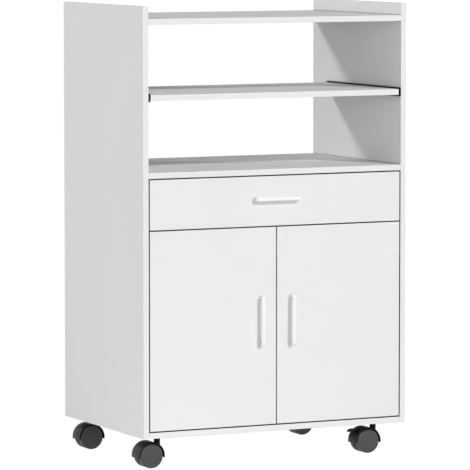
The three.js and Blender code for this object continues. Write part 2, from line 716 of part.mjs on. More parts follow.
// Tongue that is pressed down by foot. It leaves the hood through a slot, and droops.
function brakeTongue(play) {
  const bend = -(BRAKE_TONGUE_START + BRAKE_TONGUE_REACH) / 2;
  const tip = -BRAKE_TONGUE_REACH;
  const pull = THREE.MathUtils.lerp(bend, tip, BRAKE_TONGUE_BEND);
  const under = tongueUnder - play;
  const over = tongueOver + play;
  const tipOver = over - BRAKE_TONGUE_DROP;
  const tipUnder = tongueOver - BRAKE_TONGUE_DROP - BRAKE_TONGUE_TIP - play;
  const tongue = new THREE.Shape();
  tongue.moveTo(play - BRAKE_TONGUE_START, under);
  tongue.lineTo(play - tongueExit, over);
  tongue.lineTo(bend, over);
  tongue.quadraticCurveTo(pull, over, tip, tipOver);
  tongue.lineTo(tip, tipUnder);
  tongue.quadraticCurveTo(pull, under, bend, under);
  const half = BRAKE_TONGUE_WIDTH / 2 + play;
  return slabAlongY(tongue, [-half, half], { curveSegments: ROUND_SIDES / 4 });
}

// The slot is as long as the tongue needs on its way down.
function pressedTongue(degrees) {
  const tongue = brakeTongue(PLAY).translate(BRAKE_PIN_BACK, 0, -BRAKE_PIN_UP);
  tongue.rotateY(-THREE.MathUtils.degToRad(degrees));
  return tongue.translate(-BRAKE_PIN_BACK, 0, BRAKE_PIN_UP);
}

function brakedFork() {
  const slot = [0, BRAKE_TRAVEL_DEG / 2, BRAKE_TRAVEL_DEG].map(pressedTongue);
  const pocketed = cut(plainFork(), brakeBlade(PLAY, [0, BRAKE_TRAVEL_DEG]), ...slot);
  const pin = cylinderAlongY(BRAKE_PIN_RADIUS, [-FORK_WEB / 2, FORK_WEB / 2], PIN_SIDES);
  return join(pocketed, pin.translate(-BRAKE_PIN_BACK, 0, BRAKE_PIN_UP));
}

function brakeLever() {
  const bore = cylinderAlongY(BRAKE_PIN_RADIUS + PLAY, [-FORK_WEB, FORK_WEB], PIN_SIDES);
  const lever = join(brakeBlade(0, [0]), brakeTongue(0));
  return cut(lever, bore.translate(-BRAKE_PIN_BACK, 0, BRAKE_PIN_UP));
}

// One wheel, its closed domed face towards +Y and its hollow side towards the fork.
function wheel() {
  const radius = treadRadius;
  const inner = WHEEL_GAP / 2;
  const outer = inner + WHEEL_WIDTH;
  const hollow = outer - WHEEL_WALL;
  const boreRadius = AXLE_RADIUS + PLAY;
  const profile = [
    [0, outer],
    [radius / 2, outer - WHEEL_DOME / 4],
    [radius - WHEEL_EDGE, outer - WHEEL_DOME],
    [radius, outer - WHEEL_DOME - WHEEL_EDGE],
    [radius, inner],
    [radius - WHEEL_WALL, inner],
    [radius - WHEEL_WALL, hollow - WHEEL_WALL],
    [WHEEL_HUB_RADIUS, hollow - WHEEL_WALL],
    [WHEEL_HUB_RADIUS, inner],
    [boreRadius, inner],
    [boreRadius, hollow],
    [0, hollow],
  ].map(([r, y]) => new THREE.Vector2(r, y));
  // Half a side of turn puts a flat, not a corner, on the floor.
  return new THREE.LatheGeometry(profile, WHEEL_SIDES, Math.PI / WHEEL_SIDES);
}

function caster(word, x, y, braked) {
  const turning = group(
    piece(`caster_${word}_fork`, braked ? brakedFork() : plainFork(), casterHoodGrey()),
    piece(`caster_${word}_wheel_front`, wheel().rotateZ(Math.PI), casterWheelGrey()),
    piece(`caster_${word}_wheel_back`, wheel(), casterWheelGrey()),
  );
  if (braked) turning.add(piece(`brake_lever_${word}`, brakeLever(), casterHoodGrey()));
  placed(turning, -CASTER_TRAIL, 0, WHEEL_RADIUS);
  return placed(group(piece(`caster_${word}_plate`, casterPlate(), steel()), turning), x, y, 0);
}

function casters() {
  const x = CART_WIDTH / 2 - CASTER_SIDE_INSET;
  const near = front + CASTER_FRONT_INSET;
  const far = back - CASTER_BACK_INSET;
  return group(
    caster('front_left', -x, near, false),
    caster('front_right', x, near, true),
    caster('back_left', -x, far, false),
    caster('back_right', x, far, true),
  );
}

// ---- Whole cart ----

const upper = placed(group(cabinet(), drawer(), door(1, 'left'), door(-1, 'right')), 0, front, base);

export default group(upper, casters());
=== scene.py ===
import json
import math

import bmesh
import bpy
from mathutils import Matrix, Vector


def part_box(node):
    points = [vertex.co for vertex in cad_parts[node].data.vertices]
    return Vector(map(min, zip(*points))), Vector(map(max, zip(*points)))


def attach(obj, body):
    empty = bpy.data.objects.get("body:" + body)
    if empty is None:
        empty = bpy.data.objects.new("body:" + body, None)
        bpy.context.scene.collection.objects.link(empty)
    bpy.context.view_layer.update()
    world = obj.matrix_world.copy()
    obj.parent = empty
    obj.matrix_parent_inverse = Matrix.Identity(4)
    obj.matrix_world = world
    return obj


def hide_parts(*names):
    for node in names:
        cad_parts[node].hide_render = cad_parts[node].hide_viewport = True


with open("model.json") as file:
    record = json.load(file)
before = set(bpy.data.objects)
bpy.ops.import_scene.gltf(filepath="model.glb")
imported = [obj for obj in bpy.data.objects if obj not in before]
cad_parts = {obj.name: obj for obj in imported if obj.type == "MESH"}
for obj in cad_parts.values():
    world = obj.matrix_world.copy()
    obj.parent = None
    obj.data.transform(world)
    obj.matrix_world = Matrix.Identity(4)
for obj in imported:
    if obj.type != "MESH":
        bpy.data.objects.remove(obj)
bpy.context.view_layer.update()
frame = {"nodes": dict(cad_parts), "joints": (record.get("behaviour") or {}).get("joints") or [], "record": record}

solids = frame["nodes"]
joints = {joint["name"]: joint for joint in frame["joints"]}

# Pieces are drawn in millimetres round an origin of their own, and placed in metres.
MM = 0.001
FULL_TURN = 2 * math.pi
RIGHT = Vector((1, 0, 0))
BACKWARDS = Vector((0, 1, 0))
UP = Vector((0, 0, 1))
DOWN = Vector((0, 0, -1))
INWARDS = {"left": RIGHT, "right": -RIGHT}

# Camera. It stands to the left of the cart, a little above its middle. Distances are in metres,
# angles in degrees, and the lens and its sensor in millimetres.
CAMERA_TARGET = Vector((-0.0007, 0.0, 0.4537))
CAMERA_DISTANCE = 7.985
CAMERA_AZIMUTH = -25.910
CAMERA_ELEVATION = 5.031
CAMERA_LENS = 292.07
CAMERA_SIGHT = 200
SENSOR_WIDTH = 36

# Suns, by where they stand: degrees round from the cart's front, degrees up, strength in
# watts per square metre, and how wide they look in degrees.
SUNS = {
    "front_sun": (24, 32, 1.54, 4),
    "back_sun": (-119, 23, 0.90, 7),
}

# The pale room: how bright it is overhead, how much brighter to the left, and how much brighter
# low down, all round and straight in front. The low light fades out between two heights, each
# the sine of the angle above the horizon.
ROOM_HIGH = 0.065
ROOM_LEFT = 0.58
ROOM_LOW = 0.28
ROOM_FRONT = 2.28
ROOM_FALL = (0.05, 0.47)

# The floor, in metres, with its tone for the light that it throws back. The camera sees it as
# white, and its shadows as faint.
FLOOR_SIZE = 80
FLOOR_TONE = 0.85
FLOOR_GLOW = 1.0
FLOOR_SHADOW = 0.03

# Boards are painted dark inside narrow gaps, as painted shade: how far off another board still counts,
# in metres, how open the air is, from 0 to 1, where they are dark and where they are pale, and the dark colour.
GAP_REACH = 0.006
GAP_FALL = (0.40, 0.68)
GAP_SHADE_TONE = (0.015, 0.015, 0.015)

# The same three for the caster hoods, which are painted dark, as painted shade, where the cart stands close over
# them.
HOOD_REACH = 0.030
HOOD_FALL = (0.45, 0.90)
HOOD_SHADE_TONE = (0.006, 0.006, 0.006)

# How many ways each point of a board or hood looks for open air, for its painted shade.
OPEN_AIR_SAMPLES = 8

# Softened edges of the solids, in millimetres, and how they are made: in how many steps, from
# how many degrees between two faces, below how many degrees two faces are one, how much the
# large faces lead the shading, and how near two points are one.
BOARD_EDGE = 0.5
METAL_EDGE = 0.2
EDGE_STEPS = 2
EDGE_ANGLE = 30
FLAT_ANGLE = 0.5
FLAT_WEIGHT = 90
SOLID_WELD = 0.01

# In the pieces made here: how near two points are one, in millimetres, and from how many
# degrees between two faces their edge is a crease.
PIECE_WELD = 1e-5
CREASE_ANGLE = 35

# Bow handle, in millimetres. Its length, reach and width come from the frame.
HANDLE_BAR = 4.6
HANDLE_LEG = 6.5
HANDLE_BEND = 6.0
HANDLE_EDGE = 1.1
HANDLE_HOLES = 96

# Heads of screws and cams, in millimetres: the radius of each, and how far it stands out.
HANDLE_SCREW = (4.2, 2.2)
CUP_SCREW = (3.1, 0.9)
MOUNT_SCREW = (3.4, 1.2)
ARM_SCREW = (3.6, 1.4)
RUNNER_SCREW = (3.2, 0.9)
CASTER_SCREW = (3.7, 1.9)
CAM_DISC = (7.4, 0.35)

# The outline of a head, from its foot to its crown, as shares of its radius and its rise.
HEAD_OUTLINE = ((1.0, 0.0), (1.0, 0.35), (0.94, 0.7), (0.80, 0.92), (0.62, 1.0))
HEAD_STEPS = 24

# The cross recess of a head: reach and half width of its arms, as shares of the head's radius,
# how much narrower it is at its floor, and its depth in millimetres, or at most a share of the
# head's rise.
CROSS_REACH = 0.5
CROSS_HALF = 0.13
CROSS_TAPER = 0.8
CROSS_DEPTH = 1.2
CROSS_DEPTH_SHARE = 0.8

# Places of screws and cams, in millimetres. Depths are from the face of the doors, and spreads
# are from the middle of what a pair of screws holds.
CUP_SCREW_SPREAD = 17.8
MOUNT_PLATE = 2
MOUNT_SCREW_DEPTH = 49
MOUNT_SCREW_SPREAD = 17
ARM_STEEL = 2.5
ARM_SCREW_DEPTHS = (44, 62)
RUNNER_STEEL = 1.2
CABINET_RUNNER_SCREW_DEPTHS = (62, 190, 318)
DRAWER_RUNNER_SCREW_DEPTHS = (40, 180, 320)
CAM_INSET = 34
CAM_DEPTHS = {
    "top_shelf": (50, 350),
    "deck_panel": (50, 350),
    "bottom_panel": (110, 290),
    "inner_shelf": (80, 340),
}
CASTER_PLATE = 2
CASTER_SCREW_SPREAD = 15.5

# Roller of the drawer runners, in millimetres: radii of its bore and of its hub, the radius
# where its tread begins, the groove between these two, and its softened edge.
ROLLER_BORE = 2.3
ROLLER_HUB = 4.2
ROLLER_TREAD = 6.6
ROLLER_GROOVE = 0.8
ROLLER_FLANK = 0.4
ROLLER_EDGE = 0.6

# Wheels and axle of a caster, in millimetres, measured from the middle of the axle.
WHEEL_RADIUS = 25.0
WHEEL_WIDTH = 15.0
WHEEL_GAP = 7.0
WHEEL_INNER = WHEEL_GAP / 2
WHEEL_OUTER = WHEEL_INNER + WHEEL_WIDTH
WHEEL_WALL = 3.0
WHEEL_DOME = 1.3
DOME_STEPS = 8
WHEEL_EDGE = 1.0
WHEEL_BACK_EDGE = 0.5
WHEEL_DRAFT = 0.6
HUB_RADIUS = 6.5
HUB_DRAFT = 0.4
AXLE_RADIUS = 3.0
AXLE_PLAY = 0.3

# Hood and web of a caster, in millimetres, measured as the wheels are.
HOOD_PLAY = 2.66
HOOD_INSIDE = WHEEL_RADIUS + HOOD_PLAY
HOOD_WALL = 1.3
HOOD_MIDDLE = HOOD_INSIDE + HOOD_WALL / 2
HOOD_RADIUS = HOOD_INSIDE + HOOD_WALL
HOOD_HALF = WHEEL_OUTER
HOOD_EDGE = 0.35
HOOD_SKIRT = 4.0
WEB_HALF = 2.5

# Swivel neck of a caster, in millimetres up from the axle: its foot, the groove round it, and
# its top.
NECK_RADIUS = 6.5
NECK_FOOT = 13.8
NECK_GROOVE = (32.9, 34.0)
NECK_GROOVE_FLANK = 0.3
NECK_GROOVE_DEPTH = 0.7
NECK_TOP = 36.4
NECK_EDGE = 0.5

# Brake lever, in millimetres, and its travel in degrees. The pin and the arm's end are given by
# X and Z from the middle of the axle. The tongue is given by distances out from there and by
# heights above it: its top leaves the hood at the exit, its underside starts clear of the
# wheels, and both droop from the bend to the tip.
TONGUE_EXIT = 13.0
TONGUE_START = 18.0
TONGUE_TIP = 40.0
TONGUE_BEND = (TONGUE_START + TONGUE_TIP) / 2
TONGUE_PULL_SHARE = 0.65
TONGUE_PULL = TONGUE_BEND + TONGUE_PULL_SHARE * (TONGUE_TIP - TONGUE_BEND)
TONGUE_UNDER = 20.87
TONGUE_THICKNESS = 5.0
TONGUE_OVER = TONGUE_UNDER + TONGUE_THICKNESS
TONGUE_DROP = 4.7
TONGUE_TIP_OVER = TONGUE_OVER - TONGUE_DROP
TONGUE_TIP_THICKNESS = 1.6
TONGUE_TIP_UNDER = TONGUE_TIP_OVER - TONGUE_TIP_THICKNESS
TONGUE_ROOT_THICKNESS = 1.0
TONGUE_HALF = 6.0
TONGUE_EDGE = 1.2
TONGUE_EDGE_SHARE = 0.45
TONGUE_ROUNDING = 5.0
TONGUE_BLUNTNESS = 0.04
BRAKE_PIN = Vector((-6.2, 16.9))
BRAKE_PIN_RADIUS = 1.5
BRAKE_EYE_RADIUS = 3.6
BRAKE_ARM_LAP = 1.5
BRAKE_ARM_END = Vector((-TONGUE_START - BRAKE_ARM_LAP, TONGUE_UNDER + TONGUE_THICKNESS / 2))
BRAKE_ARM_HALF = 2.3
BRAKE_BLADE = 3.2
BRAKE_TRAVEL = 8
BRAKE_PLAY = 0.3


# ---- Finishes ----

class Shade:
    """The output of a node, which Python's operators work on through Math nodes."""

    def __init__(self, tree, socket):
        self.tree = tree
        self.socket = socket

    def maths(self, operation, first, second):
        return self.tree.node("ShaderNodeMath", {"operation": operation}, {0: first, 1: second})

    def __add__(self, other):
        return self.maths("ADD", self, other)

    def __radd__(self, other):
        return self.maths("ADD", other, self)

    def __sub__(self, other):
        return self.maths("SUBTRACT", self, other)

    def __rsub__(self, other):
        return self.maths("SUBTRACT", other, self)

    def __mul__(self, other):
        return self.maths("MULTIPLY", self, other)

    def __rmul__(self, other):
        return self.maths("MULTIPLY", other, self)


class NodeTree:
    """A node tree, emptied, to which nodes are added one call at a time."""

    def __init__(self, tree):
        self.tree = tree
        tree.nodes.clear()

    def node(self, kind, settings=None, inputs=None, output=0):
        made = self.tree.nodes.new(kind)
        for name, value in (settings or {}).items():
            setattr(made, name, value)
        for key, value in (inputs or {}).items():
            if isinstance(value, Shade):
                self.tree.links.new(value.socket, made.inputs[key])
            else:
                made.inputs[key].default_value = value
        return Shade(self, made.outputs[output]) if len(made.outputs) else None

    def place(self, stretch=(1, 1, 1)):
        """Where a point lies in the cart at rest, in metres, stretched along each axis."""
        here = self.node("ShaderNodeTexCoord", output="Object")
        return self.node("ShaderNodeVectorMath", {"operation": "MULTIPLY"}, {0: here, 1: stretch})

    def noise(self, place, scale, detail):
        return self.node("ShaderNodeTexNoise", {}, {"Vector": place, "Scale": scale, "Detail": detail})

    def ramp(self, value, low, high):
        """A value taken smoothly from 0 at low to 1 at high."""
        limits = {"Value": value, "From Min": low, "From Max": high}
        return self.node("ShaderNodeMapRange", {"interpolation_type": "SMOOTHSTEP"}, limits)

    def between(self, share, first, second):
        """A colour between two others."""
        ends = [end if isinstance(end, Shade) else (*end, 1) for end in (first, second)]
        return self.node("ShaderNodeMix", {"data_type": "RGBA"}, {0: share, 6: ends[0], 7: ends[1]}, 2)

    def painted_shade(self, clear, reach, fall, dark):
        """A clear colour with painted shade: it goes dark where something stands close over it."""
        settings = {"samples": OPEN_AIR_SAMPLES}
        # Painted shade: ambient occlusion sets how far the colour darkens.
        open_air = self.node("ShaderNodeAmbientOcclusion", settings, {"Distance": reach}, "AO")
        return self.between(self.ramp(open_air, *fall), dark, clear)


class Finish(NodeTree):
    """A material with one Principled shader."""

    def __init__(self, name):
        self.material = bpy.data.materials.new(name)
        self.material.use_nodes = True
        super().__init__(self.material.node_tree)

    def surface(self, height, depth, sockets):
        """Ends the material. The height is in units of depth, which is in millimetres."""
        relief = {"Strength": 1.0, "Distance": depth * MM, "Height": height}
        bump = self.node("ShaderNodeBump", {}, relief)
        shader = self.node("ShaderNodeBsdfPrincipled", {}, sockets | {"Normal": bump})
        self.node("ShaderNodeOutputMaterial", {}, {"Surface": shader})
        return self.material


def white_board_finish():
    """Melamine-faced board: matt satin, with a fine pearl and the faintest clouding. Painted shade darkens it
    inside the narrow gaps between boards."""
    finish = Finish("white_board")
    place = finish.place()
    cloud = finish.noise(place, scale=7, detail=3)
    pearl = finish.noise(place, scale=1300, detail=1)
    pale = finish.between(cloud, (0.825, 0.826, 0.830), (0.855, 0.855, 0.857))
    # Painted shade: the board's colour goes dark in narrow gaps and close corners, where little light reaches.
    tone = finish.painted_shade(pale, GAP_REACH, GAP_FALL, GAP_SHADE_TONE)
    sockets = {"Base Color": tone, "Roughness": 0.50 + 0.14 * pearl, "Specular IOR Level": 0.02}
    return finish.surface(pearl, depth=0.006, sockets=sockets)


def hardboard_finish():
    """Thin board, lacquered white over pressed fibres."""
    finish = Finish("hardboard")
    fibre = finish.noise(finish.place(stretch=(1, 1, 0.35)), scale=700, detail=3)
    cloud = finish.noise(finish.place(), scale=12, detail=3)
    tone = finish.between(cloud, (0.70, 0.70, 0.69), (0.77, 0.77, 0.76))
    sockets = {"Base Color": tone, "Roughness": 0.55 + 0.2 * fibre}
    return finish.surface(fibre, depth=0.05, sockets=sockets)


def handle_finish():
    """Gloss white coating with a little orange peel."""
    finish = Finish("handle_white")
    peel = finish.noise(finish.place(), scale=420, detail=1)
    tone = finish.between(peel, (0.94, 0.94, 0.94), (0.96, 0.96, 0.96))
    sockets = {"Base Color": tone, "Roughness": 0.20 + 0.10 * peel, "Coat Weight": 0.3}
    return finish.surface(peel, depth=0.02, sockets=sockets)


def channel_finish():
    """Black extruded plastic, drawn lengthwise."""
    finish = Finish("channel_black")
    streak = finish.noise(finish.place(stretch=(1, 0.02, 1)), scale=1600, detail=2)
    tone = finish.between(streak, (0.007, 0.007, 0.008), (0.014, 0.014, 0.015))
    sockets = {"Base Color": tone, "Roughness": 0.42 + 0.2 * streak, "Specular IOR Level": 0.10}
    return finish.surface(streak, depth=0.015, sockets=sockets)


def runner_finish():
    """White powder coat on sheet steel."""
    finish = Finish("runner_white")
    grain = finish.noise(finish.place(), scale=900, detail=2)
    tone = finish.between(grain, (0.74, 0.74, 0.74), (0.79, 0.79, 0.79))
    sockets = {"Base Color": tone, "Roughness": 0.36 + 0.2 * grain}
    return finish.surface(grain, depth=0.03, sockets=sockets)


def nylon_finish():
    """Natural nylon."""
    finish = Finish("roller_nylon")
    grain = finish.noise(finish.place(), scale=600, detail=2)
    tone = finish.between(grain, (0.78, 0.76, 0.69), (0.83, 0.81, 0.75))
    sockets = {"Base Color": tone, "Roughness": 0.34 + 0.15 * grain}
    return finish.surface(grain, depth=0.02, sockets=sockets)


def hood_finish():
    """Near-black moulded nylon, nearly glossy. Painted shade darkens it close under the cart."""
    finish = Finish("caster_hood")
    place = finish.place()
    grain = finish.noise(place, scale=1800, detail=2)
    wear = finish.noise(place, scale=90, detail=3)
    clear = finish.between(wear, (0.036, 0.036, 0.038), (0.045, 0.045, 0.047))
    # Painted shade: the hood goes dark where the cart's underside stands close over it.
    tone = finish.painted_shade(clear, HOOD_REACH, HOOD_FALL, HOOD_SHADE_TONE)
    sockets = {"Base Color": tone, "Roughness": 0.30 + 0.16 * grain, "Specular IOR Level": 0.12}
    return finish.surface(grain, depth=0.012, sockets=sockets)


def wheel_finish():
    """Dark grey moulded nylon, satin."""
    finish = Finish("caster_wheel")
    place = finish.place()
    grain = finish.noise(place, scale=1500, detail=2)
    cloud = finish.noise(place, scale=60, detail=3)
    tone = finish.between(cloud, (0.046, 0.046, 0.048), (0.058, 0.058, 0.060))
    sockets = {"Base Color": tone, "Roughness": 0.44 + 0.16 * grain}
    return finish.surface(grain, depth=0.012, sockets=sockets)


def steel_finish():
    """Zinc-plated steel with a soft spangle."""
    finish = Finish("zinc_steel")
    spangle = finish.noise(finish.place(), scale=260, detail=3)
    brush = finish.noise(finish.place(stretch=(1, 1, 0.05)), scale=2200, detail=2)
    tone = finish.between(spangle, (0.52, 0.54, 0.57), (0.66, 0.67, 0.69))
    sockets = {"Base Color": tone, "Roughness": 0.26 + 0.18 * spangle, "Metallic": 1.0}
    return finish.surface(brush, depth=0.01, sockets=sockets)


finishes = {
    "white_board": white_board_finish(),
    "hardboard": hardboard_finish(),
    "handle_white": handle_finish(),
    "channel_black": channel_finish(),
    "runner_white": runner_finish(),
    "roller_nylon": nylon_finish(),
    "caster_hood": hood_finish(),
    "caster_wheel": wheel_finish(),
    "zinc_steel": steel_finish(),
}


# ---- Outlines, in millimetres ----

def arc(centre, radius, start, end, steps):
    """Points along an arc in the plane of its drawing, angles in degrees."""
    points = []
    for step in range(steps + 1):
        angle = math.radians(start + (end - start) * step / steps)
        points.append((centre[0] + radius * math.cos(angle), centre[1] + radius * math.sin(angle)))
    return points


def circle(centre, radius, steps):
    return arc(centre, radius, 0, 360, steps)[:-1]


def rounded_rectangle(half_width, half_height, radius):
    """The corners of a rectangle round the origin, each as an arc."""
    x, y = half_width - radius, half_height - radius
    corners = [((x, y), 0), ((-x, y), 90), ((-x, -y), 180), ((x, -y), 270)]
    return [point for centre, turn in corners for point in arc(centre, radius, turn, turn + 90, steps=3)]


def cross_outline(reach, half):
    """A cross of four arms, each from its right corner to the corner between it and the next."""
    arm = [(half, reach), (-half, reach), (-half, half)]
    points = []
    for _ in range(4):
        points += arm
        arm = [(-y, x) for x, y in arm]
    return points


# ---- Bodies, in millimetres ----

def band(bm, near, far, closed=True):
    """Faces between two rows of points, which close into rings or stay open at their ends."""
    count = len(near)
    for i in range(count if closed else count - 1):
        j = (i + 1) % count
        bm.faces.new((near[i], near[j], far[j], far[i]))


def loft(rings):
    """A closed body through rings of as many points each, with its two ends capped."""
    bm = bmesh.new()
    rows = [[bm.verts.new(point) for point in ring] for ring in rings]
    for near, far in zip(rows, rows[1:]):
        band(bm, near, far)
    bm.faces.new(rows[0][::-1])
    bm.faces.new(rows[-1])
    bmesh.ops.recalc_face_normals(bm, faces=bm.faces)
    return bm


def slab(outline, low, high):
    """A flat piece drawn in X and Z, from one Y to another."""
    return loft([[(x, y, z) for x, z in outline] for y in (low, high)])


def turned(profile, steps, start=0.0, sweep=FULL_TURN):
    """A solid turned round the Y axis from points of radius and y, angles in radians. A profile
    that begins and ends on the axis stays open there, and any other closes on itself."""
    bm = bmesh.new()
    whole = sweep == FULL_TURN
    on_axis = profile[0][0] == 0 and profile[-1][0] == 0
    rows = []
    for step in range(steps if whole else steps + 1):
        angle = start + sweep * step / steps
        rows.append([bm.verts.new((r * math.cos(angle), y, r * math.sin(angle))) for r, y in profile])
    pairs = list(zip(rows, rows[1:]))
    if whole:
        pairs.append((rows[-1], rows[0]))
    for near, far in pairs:
        band(bm, near, far, closed=not on_axis)
    if not whole:
        bm.faces.new(rows[0][::-1])
        bm.faces.new(rows[-1])
    bmesh.ops.remove_doubles(bm, verts=bm.verts, dist=PIECE_WELD)
    bmesh.ops.recalc_face_normals(bm, faces=bm.faces)
    return bm


def edges_round(bm, ring):
    """The edges that join the points of a ring."""
    return [bm.edges.get(pair) for pair in zip(ring, ring[1:] + ring[:1])]


def screw_head(radius, rise):
    """A pan head with a cross recess, facing up, with its foot at the origin."""
    bm = bmesh.new()
    rows = []
    for share, height in HEAD_OUTLINE:
        ring = circle((0, 0), radius * share, HEAD_STEPS)
        rows.append([bm.verts.new((x, y, rise * height)) for x, y in ring])
    for near, far in zip(rows, rows[1:]):
        band(bm, near, far)
    bm.faces.new(rows[0][::-1])
    cross = cross_outline(radius * CROSS_REACH, radius * CROSS_HALF)
    floor_height = rise - min(CROSS_DEPTH, rise * CROSS_DEPTH_SHARE)
    mouth = [bm.verts.new((x, y, rise)) for x, y in cross]
    floor = [bm.verts.new((x * CROSS_TAPER, y * CROSS_TAPER, floor_height)) for x, y in cross]
    band(bm, mouth, floor)
    bm.faces.new(floor)
    crown = edges_round(bm, rows[-1]) + edges_round(bm, mouth)
    bmesh.ops.triangle_fill(bm, use_beauty=True, edges=crown)
    bmesh.ops.recalc_face_normals(bm, faces=bm.faces)
    return bm


# ---- Placing bodies as pieces ----

def set_down(origin):
    """The matrix that puts a body drawn in millimetres at a point."""
    return Matrix.Translation(origin) @ Matrix.Scale(MM, 4)


def facing(origin, direction):
    """The matrix that puts a body drawn upwards at a point, facing a way."""
    turn = Vector(direction).to_track_quat("Z", "Y").to_matrix().to_4x4()
    return Matrix.Translation(origin) @ turn @ Matrix.Scale(MM, 4)


def add(name, data):
    """An object of the scene, from its mesh, lamp or camera."""
    made = bpy.data.objects.new(name, data)
    bpy.context.scene.collection.objects.link(made)
    return made


def to_mesh(name, *placed):
    """One mesh from bodies, each given with its matrix."""
    mesh = bpy.data.meshes.new(name)
    whole = bmesh.new()
    for bm, matrix in placed:
        part = bpy.data.meshes.new(name)
        bm.to_mesh(part)
        part.transform(matrix)
        whole.from_mesh(part)
        bpy.data.meshes.remove(part)
    whole.to_mesh(mesh)
    whole.free()
    return mesh


def carved(bm, cutter):
    """What is left of a body when another is cut out of it."""
    body = add("carved_body", to_mesh("carved_body", (bm, Matrix())))
    tool = add("carving_tool", to_mesh("carving_tool", (cutter, Matrix())))
    cut = body.modifiers.new("cut", "BOOLEAN")
    cut.operation = "DIFFERENCE"
    cut.solver = "EXACT"
    cut.object = tool
    rest = bpy.data.meshes.new_from_object(body.evaluated_get(bpy.context.evaluated_depsgraph_get()))
    left = bmesh.new()
    left.from_mesh(rest)
    for each in (body, tool):
        bpy.data.objects.remove(each)
    bpy.data.meshes.remove(rest)
    return left


def piece(name, slot, body, placed, replaced=()):
    """A piece of the cart from placed bodies, in a finish, riding on a body of the frame."""
    mesh = to_mesh(name, *placed)
    mesh.materials.append(finishes[slot])
    mesh.shade_smooth()
    mesh.set_sharp_from_angle(angle=math.radians(CREASE_ANGLE))
    made = add(name, mesh)
    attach(made, body)
    if replaced:
        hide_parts(*replaced)


def middle_of(node):
    """The middle of a node's box."""
    low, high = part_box(node)
    return (low + high) / 2


def side_of(node, way):
    """The X of a node's side that looks left or right."""
    low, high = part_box(node)
    return high.x if way.x > 0 else low.x


def behind_doors(depth):
    """The Y of a depth behind the face of the doors, given in millimetres."""
    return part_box("left_door")[0].y + depth * MM


# ---- Boards, channels, runners and hinges, which keep their solids ----

def soften(solid, edge):
    """Rounds the edges of a solid a little, and shades its flats as flat."""
    solid.data.shade_smooth()
    weld = solid.modifiers.new("weld", "WELD")
    weld.merge_threshold = SOLID_WELD * MM
    flats = solid.modifiers.new("flats", "DECIMATE")
    flats.decimate_type = "DISSOLVE"
    flats.angle_limit = math.radians(FLAT_ANGLE)
    bevel = solid.modifiers.new("bevel", "BEVEL")
    bevel.width = edge * MM
    bevel.segments = EDGE_STEPS
    bevel.limit_method = "ANGLE"
    bevel.angle_limit = math.radians(EDGE_ANGLE)
    normals = solid.modifiers.new("normals", "WEIGHTED_NORMAL")
    normals.keep_sharp = False
    normals.weight = FLAT_WEIGHT


def dress_solids():
    """Gives every solid its finish and soft edges. What a piece replaces is hidden later."""
    slots = {part["node"]: part["material_slot"] for part in frame["record"]["subparts"]}
    for node, solid in solids.items():
        solid.data.materials.clear()
        solid.data.materials.append(finishes[slots[node]])
        soften(solid, BOARD_EDGE if slots[node] == "white_board" else METAL_EDGE)


# ---- Handles ----

def handle_rings(half_length, reach, half_width):
    """The sections of a bow that stands on its two legs, its length along X."""
    inner_bend = HANDLE_BEND - HANDLE_BAR / 2
    inner_half = half_length - HANDLE_LEG
    outer_centre = (half_length - HANDLE_BEND, reach - HANDLE_BEND)
    inner_centre = (inner_half - inner_bend, reach - HANDLE_BAR - inner_bend)
    outer_line = [(half_length, 0.0)] + arc(outer_centre, HANDLE_BEND, 0, 90, steps=8)
    inner_line = [(inner_half, 0.0)] + arc(inner_centre, inner_bend, 0, 90, steps=8)
    pairs = list(zip(outer_line, inner_line))
    pairs += [((-a, b), (-c, d)) for (a, b), (c, d) in reversed(pairs)]
    rings = []
    for outer, inner in pairs:
        outer, inner = Vector(outer), Vector(inner)
        middle, across = (outer + inner) / 2, (outer - inner) / 2
        section = rounded_rectangle(across.length, half_width, HANDLE_EDGE)
        out = across.normalized()
        rings.append([(middle.x + out.x * u, v, middle.y + out.y * u) for u, v in section])
    return rings


def handle(node, body, upright):
    """A bow handle, drawn standing up from its foot and laid on the front, and its screws."""
    low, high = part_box(node)
    size = (high - low) / MM
    length, width = (size.z, size.x) if upright else (size.x, size.z)
    bow = loft(handle_rings(length / 2, size.y, width / 2))
    foot = Vector(((low.x + high.x) / 2, high.y, (low.z + high.z) / 2))
    along = UP if upright else RIGHT
    out = -BACKWARDS
    turn = Matrix((along, out.cross(along), out)).transposed().to_4x4()
    stand = Matrix.Translation(foot) @ turn @ Matrix.Scale(MM, 4)
    piece(node + "_bow", "handle_white", body, [(bow, stand)], [node])
    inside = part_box("left_door")[1].y
    head = screw_head(*HANDLE_SCREW)
    spots = [foot + along * (side * HANDLE_HOLES / 2 * MM) for side in (-1, 1)]
    heads = [(head, facing((spot.x, inside, spot.z), BACKWARDS)) for spot in spots]
    piece(node + "_screws", "zinc_steel", body, heads)


# ---- Screws and cam locks ----

